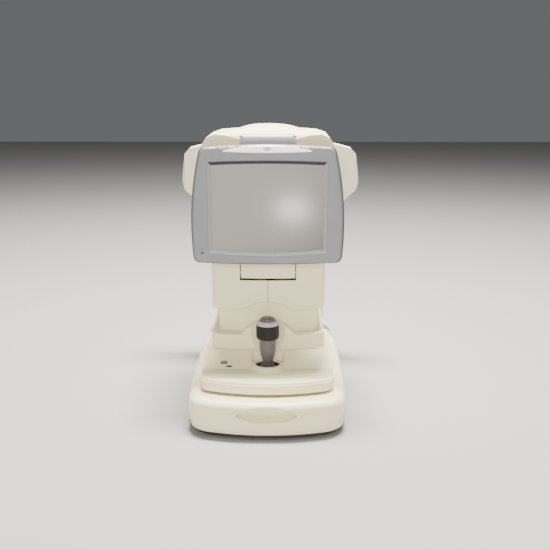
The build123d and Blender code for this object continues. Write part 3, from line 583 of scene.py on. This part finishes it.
# ---- deck ----
def add_palm_mark():
    """Small printed pictogram on the slope left of the joystick: an open eye and a focus bar beside it."""
    slope_foot, foot_z = 80 * MM, 73 * MM
    slope_rise, slope_run = 22.0, 29.0
    slope = math.atan2(slope_rise, slope_run)
    foot = Vector((0.0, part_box("deck_cover")[0][1] + slope_foot, foot_z))
    uphill = Vector((0.0, math.cos(slope), math.sin(slope)))
    outwards = Vector((0.0, -math.sin(slope), math.cos(slope)))
    right = Vector((1.0, 0.0, 0.0))
    ink = 0.1 * MM
    eye_x, eye_along = -69 * MM, 12 * MM
    bar_x, bar_along = -61 * MM, 5 * MM
    shapes = (("palm_mark_eye", eye_x, eye_along, 5.4 * MM, 3.6 * MM, 0.55),
              ("palm_mark_pupil", eye_x, eye_along, 1.5 * MM, 1.4 * MM, 0.1),
              ("palm_mark_bar", bar_x, bar_along, 5.2 * MM, 1.7 * MM, 0.1))
    for name, x, along, half_wide, half_high, inner in shapes:

        def on_slope(across, up, lift):
            return foot + right * (x + across) + uphill * (along + up) + outwards * lift

        bm = printed_oval(on_slope, half_wide, half_high, inner, -ink, ink, 48)
        add_piece(name, bm, EXTRAS["black_ink"], "stage")


# ---- patient side ----
def add_forehead_pad():
    """Soft silicone pad: crowned across its height and rounded at both ends."""
    low, high = [Vector(corner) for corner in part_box("forehead_pad")]
    band_centre = 293 * MM
    band_radius, half_thick = 93 * MM, 3.2 * MM
    crown, end_power, reach, fit = 0.12, 14, 0.985, 0.98
    half_high = (high.z - low.z) / 2
    middle = (high.z + low.z) / 2
    spread = math.asin(min(1.0, high.x / band_radius))
    rings = []
    stations, around = 60, 28
    for i in range(stations + 1):
        t = -1.0 + 2.0 * i / stations
        end = max(0.02, 1.0 - abs(t) ** end_power) ** 0.5
        swell = 1.0 + crown * (1.0 - t * t)
        angle = spread * reach * t
        ring = []
        for k in range(around):
            turn = 2.0 * math.pi * k / around
            c, s = math.cos(turn), math.sin(turn)
            out = half_thick * swell * end * math.copysign(abs(c) ** 0.75, c)
            up = half_high * fit * end ** 0.5 * math.copysign(abs(s) ** 0.6, s)
            r = band_radius - out
            ring.append((r * math.sin(angle), band_centre - r * math.cos(angle), middle + up))
        rings.append(ring)
    pad = add_piece("forehead_cushion", stack_rings(rings), MATERIALS["pad_grey"], "base", 70.0)
    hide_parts("forehead_pad")


def add_chin_papers():
    """Stack of thin chinrest papers that follow the cup."""
    rng = random.Random(5)
    low, high = [Vector(corner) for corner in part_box("chin_cup")]
    rim = high.z
    hollow_radius = 40 * MM
    hollow_z = low.z + 6 * MM + 44 * MM
    half_width, columns = 42, 40
    thickness, first_lift, pitch = 0.12, 0.25, 0.32
    for sheet in range(5):
        lift = (first_lift + pitch * sheet) * MM
        shift = rng.uniform(-0.5, 0.5) * MM
        near = low.y + (2.6 + rng.uniform(0, 0.5)) * MM
        far = low.y + (44 + rng.uniform(0, 0.9)) * MM
        section = []
        for k in range(columns + 1):
            x = (-half_width + 2 * half_width * k / columns) * MM
            inside = hollow_radius ** 2 - x * x
            dip = hollow_z - math.sqrt(inside) if inside > 0 else rim
            section.append((x + shift, min(rim, dip) + lift))
        rings = []
        for y in (near, (near + far) / 2, far):
            upper = [(x, y, z + thickness * MM) for x, z in section]
            under = [(x, y, z) for x, z in reversed(section)]
            rings.append(upper + under)
        add_piece(f"chin_paper_{sheet + 1}", stack_rings(rings), MATERIALS["paper"], "chinrest")


def cross_screw(centre, radius):
    """Round screw head with a cross recess, facing the patient."""
    steps = 32
    arm_reach, notch_reach, arm_limit = 0.5, 0.2, 0.86

    def ring_at(share, height, reach):
        ring = []
        for k in range(steps):
            angle = 2 * math.pi * k / steps
            r = radius * share * reach(angle)
            ring.append(Vector((r * math.cos(angle), height * MM, r * math.sin(angle))) + Vector(centre))
        return ring

    def round_head(angle):
        return 1.0

    def cross(angle):
        return arm_reach if abs(math.cos(2 * angle)) > arm_limit else notch_reach

    rings = [ring_at(share, height, round_head)
             for share, height in ((1.0, 0.0), (1.0, 0.35), (0.86, 0.62), (0.66, 0.78))]
    rings += [ring_at(1.0, height, cross) for height in (0.8, 0.15)]
    return stack_rings(rings)


def add_panel_screws():
    """One screw near each corner of the patient panel."""
    low, high = [Vector(corner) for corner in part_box("patient_panel")]
    from_edge, sunk, head_radius = 9 * MM, 0.1 * MM, 2.9 * MM
    places = [(x, z) for x in (low.x + from_edge, high.x - from_edge)
              for z in (low.z + from_edge, high.z - from_edge)]
    for number, (x, z) in enumerate(places):
        bm = cross_screw((x, high.y - sunk, z), head_radius)
        add_piece(f"panel_screw_{number + 1}", bm, MATERIALS["steel"], "head")


# ---- stage and light ----
def add_floor():
    """Plain pale floor."""
    half = 6.0
    mesh = bpy.data.meshes.new("floor")
    corners = [(-half, -half, 0.0), (half, -half, 0.0), (half, half, 0.0), (-half, half, 0.0)]
    mesh.from_pydata(corners, [], [(0, 1, 2, 3)])
    floor = bpy.data.objects.new("floor", mesh)
    bpy.context.scene.collection.objects.link(floor)
    material, tree, shader, where = new_material("floor")
    shader.inputs["Base Color"].default_value = (0.3, 0.3, 0.297, 1.0)
    shader.inputs["Roughness"].default_value = 0.85
    mesh.materials.append(material)


def add_area_light(name, place, target, size, watts, colour):
    """Rectangular soft light at place that faces target."""
    data = bpy.data.lights.new(name, "AREA")
    data.shape = "RECTANGLE"
    data.size, data.size_y = size
    data.energy = watts
    data.color = colour
    light = bpy.data.objects.new(name, data)
    light.location = place
    aim = Vector(target) - Vector(place)
    light.rotation_euler = aim.to_track_quat("-Z", "Y").to_euler()
    bpy.context.scene.collection.objects.link(light)


def add_lights():
    """Soft key overhead, front fill, weak side and back lights, and a small panel for the screen's sheen."""
    world = bpy.data.worlds.new("studio")
    world.use_nodes = True
    background = world.node_tree.nodes["Background"]
    background.inputs["Color"].default_value = (0.86, 0.88, 0.9, 1.0)
    background.inputs["Strength"].default_value = 0.16
    bpy.context.scene.world = world
    middle = (0.0, 0.0, 0.25)
    neutral = (1.0, 1.0, 1.0)
    side_tint = (1.0, 0.98, 0.95)
    front_tint = (1.0, 0.975, 0.94)
    key_tint = (1.0, 0.965, 0.9)
    sheen_tint = (1.0, 0.94, 0.86)
    add_area_light("key", (0.1, 0.3, 2.3), (0.0, -0.05, 0.2), (0.9, 0.4), 345.0, key_tint)
    add_area_light("front_fill", (-0.2, -2.6, 1.1), middle, (1.2, 0.8), 55.0, front_tint)
    add_area_light("left_fill", (-1.7, -0.5, 0.8), middle, (0.8, 1.0), 9.0, side_tint)
    add_area_light("right_fill", (1.7, -0.3, 0.9), middle, (0.8, 1.2), 10.0, side_tint)
    add_area_light("back_edge", (0.0, 1.7, 1.5), middle, (1.8, 0.6), 20.0, neutral)
    add_area_light("screen_sheen", (0.056, -1.6, 0.1), (0.0, -0.1, 0.32), (0.08, 0.04), 2.8, sheen_tint)


add_camera()
dress_nodes()
add_screen_lip()
add_badge()
add_indicators()
add_hinge_caps()
add_joystick_boot()
add_button_seal()
add_palm_mark()
add_forehead_pad()
add_chin_papers()
add_panel_screws()
add_floor()
add_lights()
